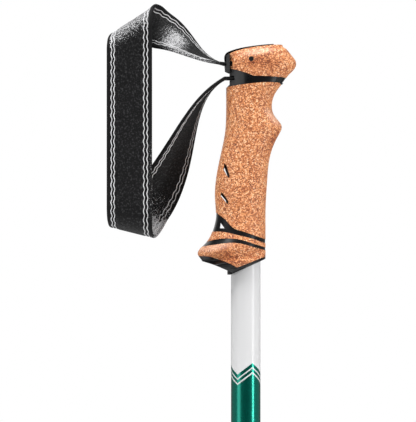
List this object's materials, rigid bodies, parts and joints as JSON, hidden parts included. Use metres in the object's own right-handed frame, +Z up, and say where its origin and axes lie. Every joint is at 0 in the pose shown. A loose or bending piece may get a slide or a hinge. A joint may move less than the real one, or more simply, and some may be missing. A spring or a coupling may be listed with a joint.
{
  "type": "trekking pole",
  "caption": "Telescopic walking pole with a shaped cork grip, a flat wrist strap with a strap lock, lever clamps between its tubes, a round basket and a hard tip.",
  "frame": {"origin": "on the shaft's axis at the middle of the hand's hold on the grip", "axes": "+Z up the shaft towards the grip's head, +X to the walker's front, the strap hangs on the -X side"},
  "size_m": [0.1158, 0.0514, 0.671],
  "materials": {
    "cork": "matt granulated cork",
    "black_plastic": "fine matt moulded",
    "webbing": "woven and brushed, light wavy stitching",
    "painted_tube": "white gloss lacquer over green gloss lacquer",
    "bare_tube": "anodised satin",
    "steel": "satin",
    "lock_plastic": "fine matt moulded",
    "lever_alloy": "green anodised satin",
    "grey_plastic": "smooth moulded",
    "tip_plastic": "smooth moulded",
    "flex_rubber": "smooth",
    "carbide": "ground carbide"
  },
  "bodies": {
    "upper_section": {"grip_core": "black_plastic", "head_cork": "cork", "handle_cork": "cork", "window_band": "black_plastic", "lower_cork_band": "cork", "accent_band": "black_plastic", "base_cork": "cork", "base_skirt": "black_plastic", "lock_pin": "steel", "strap_anchor_pin": "steel", "wrist_strap": "webbing", "upper_tube": "painted_tube", "upper_tube_plug": "grey_plastic", "upper_lock_clamp": "lock_plastic", "upper_lock_liner": "grey_plastic", "upper_lock_plate": "steel", "upper_lock_screw": "steel"},
    "strap_lock": {"strap_lock_cap": "black_plastic"},
    "upper_lever": {"upper_lock_lever": "lever_alloy", "upper_lock_axle": "steel"},
    "upper_nut": {"upper_lock_nut": "black_plastic"},
    "middle_section": {"middle_tube": "bare_tube", "middle_guide_bush": "grey_plastic", "lower_lock_clamp": "lock_plastic", "lower_lock_liner": "grey_plastic", "lower_lock_plate": "steel", "lower_lock_screw": "steel"},
    "lower_lever": {"lower_lock_lever": "lever_alloy", "lower_lock_axle": "steel"},
    "lower_nut": {"lower_lock_nut": "black_plastic"},
    "lower_section": {"lower_tube": "bare_tube", "lower_guide_bush": "grey_plastic", "tip_holder": "tip_plastic", "flex_sleeve": "flex_rubber", "carbide_tip": "carbide"},
    "basket_turn_body": {"basket": "tip_plastic"}
  },
  "joints": [
    {"name": "strap_lock_tilt", "type": "hinge", "parent": "upper_section", "child": "strap_lock", "pos_m": [0.0032, 0, 0.0616], "axis": [0, 1, 0], "range_deg": [0, 10]},
    {"name": "middle_slide", "type": "slide", "parent": "upper_section", "child": "middle_section", "axis": [0, 0, -1], "range_m": [0, 0.33]},
    {"name": "lower_slide", "type": "slide", "parent": "middle_section", "child": "lower_section", "axis": [0, 0, -1], "range_m": [0, 0.34]},
    {"name": "upper_lever_swing", "type": "hinge", "parent": "upper_section", "child": "upper_lever", "pos_m": [0.01365, -0.015, -0.405], "axis": [0, 0, -1], "range_deg": [0, 115]},
    {"name": "upper_nut_turn", "type": "hinge", "parent": "upper_section", "child": "upper_nut", "pos_m": [-0.01, -0.015, -0.405], "axis": [1, 0, 0], "continuous": true},
    {"name": "lower_lever_swing", "type": "hinge", "parent": "middle_section", "child": "lower_lever", "pos_m": [0.01365, -0.014, -0.451], "axis": [0, 0, -1], "range_deg": [0, 115]},
    {"name": "lower_nut_turn", "type": "hinge", "parent": "middle_section", "child": "lower_nut", "pos_m": [-0.01, -0.014, -0.451], "axis": [1, 0, 0], "continuous": true},
    {"name": "basket_turn", "type": "hinge", "parent": "lower_section", "child": "basket_turn_body", "pos_m": [0, 0, -0.52], "axis": [0, 0, 1], "continuous": true}
  ]
}
